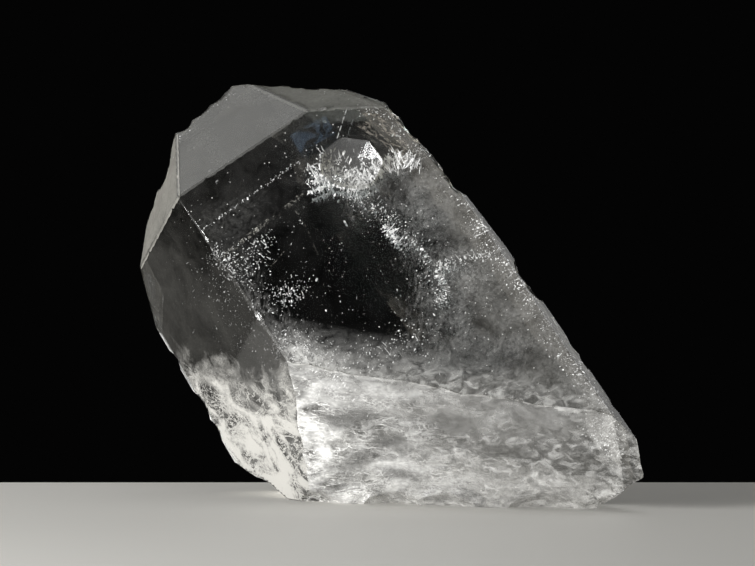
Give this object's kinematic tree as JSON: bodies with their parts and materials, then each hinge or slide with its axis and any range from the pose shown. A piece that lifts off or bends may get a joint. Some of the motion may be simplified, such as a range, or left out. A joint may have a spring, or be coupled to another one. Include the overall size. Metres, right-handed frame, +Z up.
{
  "type": "quartz crystal point",
  "caption": "Clear six-sided quartz crystal point with a chisel-shaped tip and a milky broken root, lying on the break with its tip leaning back.",
  "frame": {"origin": "middle of the crystal's box, on the surface that the break under its root rests on", "axes": "+Z up from the resting surface, -Y towards the wide front prism face, +X towards the broken root's point; the crystal's long axis leans to -X and +Y"},
  "size_m": [0.0764, 0.05, 0.0623],
  "materials": {
    "clear_quartz": "see-through natural crystal, glossy growth faces, milky and rough at the broken root"
  },
  "bodies": {
    "root": {"quartz_crystal": "clear_quartz"}
  },
  "joints": []
}
